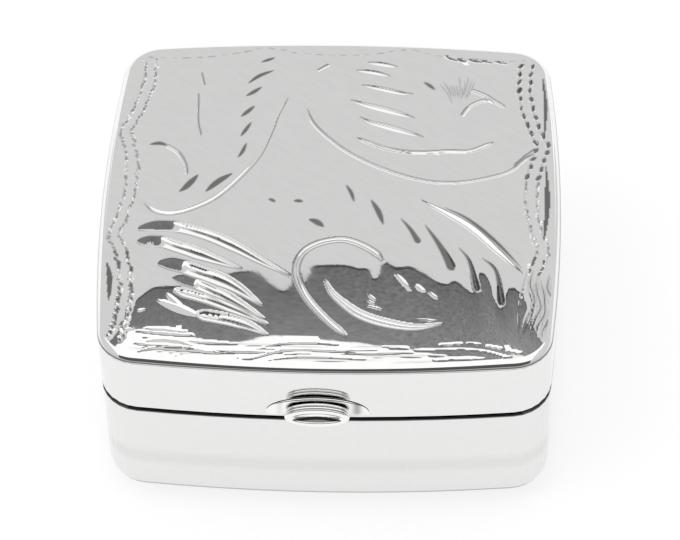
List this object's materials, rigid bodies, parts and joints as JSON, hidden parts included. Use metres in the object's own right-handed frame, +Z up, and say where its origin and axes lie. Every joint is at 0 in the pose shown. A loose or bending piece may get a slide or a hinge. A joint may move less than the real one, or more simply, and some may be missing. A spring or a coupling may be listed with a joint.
{
  "type": "pill box",
  "caption": "Small square silver pill box with bowed sides, a crowned engraved lid on a let-in back hinge and an oval thumbpiece on the front.",
  "frame": {"origin": "middle of the plan outline, on the surface the box stands on", "axes": "+Z up, +Y towards the hinge, +X along the front to the viewer's right when the thumbpiece faces the viewer"},
  "size_m": [0.04, 0.0402, 0.0196],
  "materials": {
    "polished_silver": "polished sterling silver, plain walls",
    "engraved_silver": "polished sterling silver, hand-engraved scrolls",
    "satin_silver": "satin sterling silver",
    "barrel_silver": "polished drawn silver tube",
    "pin_wire": "drawn nickel-silver wire",
    "thumbpiece_silver": "polished cast silver"
  },
  "bodies": {
    "base": {"base_tray": "polished_silver", "base_bezel": "satin_silver", "base_hinge_bearer": "satin_silver", "base_knuckle_left": "barrel_silver", "base_knuckle_middle": "barrel_silver", "base_knuckle_right": "barrel_silver", "hinge_pin": "pin_wire"},
    "lid": {"lid_band": "polished_silver", "lid_top_panel": "engraved_silver", "lid_hinge_bearer": "satin_silver", "lid_knuckle_left": "barrel_silver", "lid_knuckle_right": "barrel_silver", "thumb_plate": "thumbpiece_silver", "thumb_button": "thumbpiece_silver"}
  },
  "joints": [
    {"name": "lid_hinge", "type": "hinge", "parent": "base", "child": "lid", "pos_m": [0, 0.01873, 0.012], "axis": [-1, 0, 0], "range_deg": [0, 108]}
  ]
}
